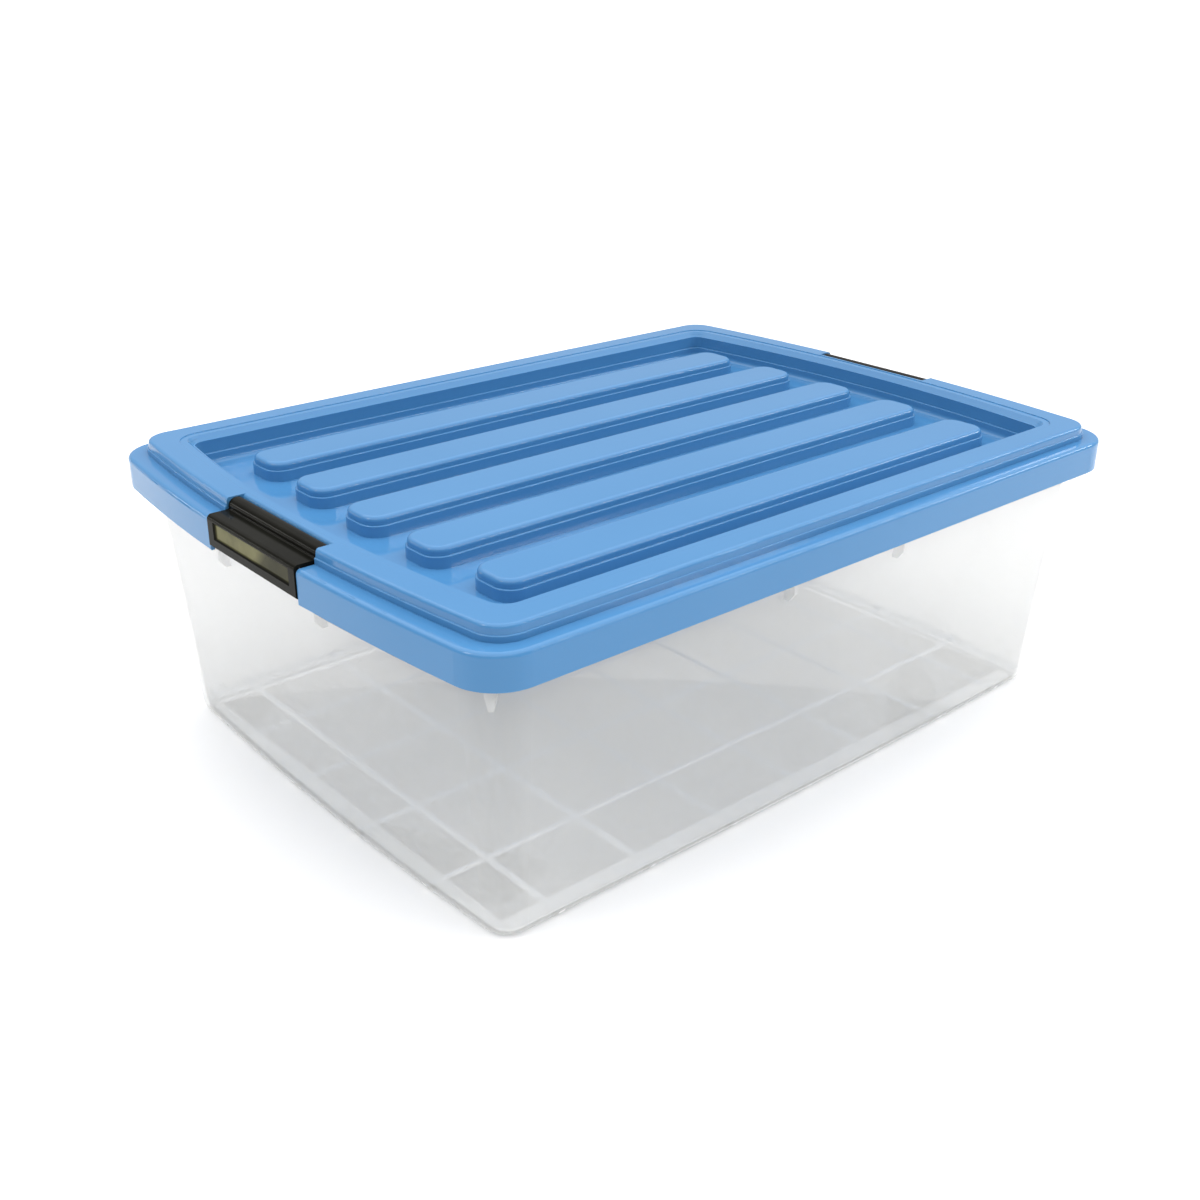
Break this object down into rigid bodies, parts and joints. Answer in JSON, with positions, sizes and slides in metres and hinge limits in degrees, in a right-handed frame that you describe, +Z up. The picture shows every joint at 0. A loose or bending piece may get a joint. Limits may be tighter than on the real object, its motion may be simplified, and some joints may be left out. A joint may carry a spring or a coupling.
{
  "type": "under bed box",
  "caption": "Low see-through storage box with a ribbed lift-off lid, held shut by a hinged latch at each end.",
  "frame": {"origin": "centre of the box's underside, on the surface it stands on", "axes": "+X along the length towards latch_right, +Y across, +Z up"},
  "size_m": [0.55, 0.4, 0.1925],
  "materials": {
    "clear_plastic": "translucent, lightly frosted",
    "blue_plastic": "glossy",
    "black_plastic": "glossy"
  },
  "bodies": {
    "tub": {"tub": "clear_plastic"},
    "lid": {"lid": "blue_plastic"},
    "latch_left": {"latch_left": "black_plastic"},
    "latch_right": {"latch_right": "black_plastic"}
  },
  "joints": [
    {"name": "lid_lift", "type": "slide", "parent": "tub", "child": "lid", "axis": [0, 0, 1], "range_m": [0, 0.12]},
    {"name": "latch_left_hinge", "type": "hinge", "parent": "lid", "child": "latch_left", "pos_m": [-0.2548, 0, 0.1891], "axis": [0, 1, 0], "range_deg": [0, 100]},
    {"name": "latch_right_hinge", "type": "hinge", "parent": "lid", "child": "latch_right", "pos_m": [0.2548, 0, 0.1891], "axis": [0, -1, 0], "range_deg": [0, 100]}
  ]
}
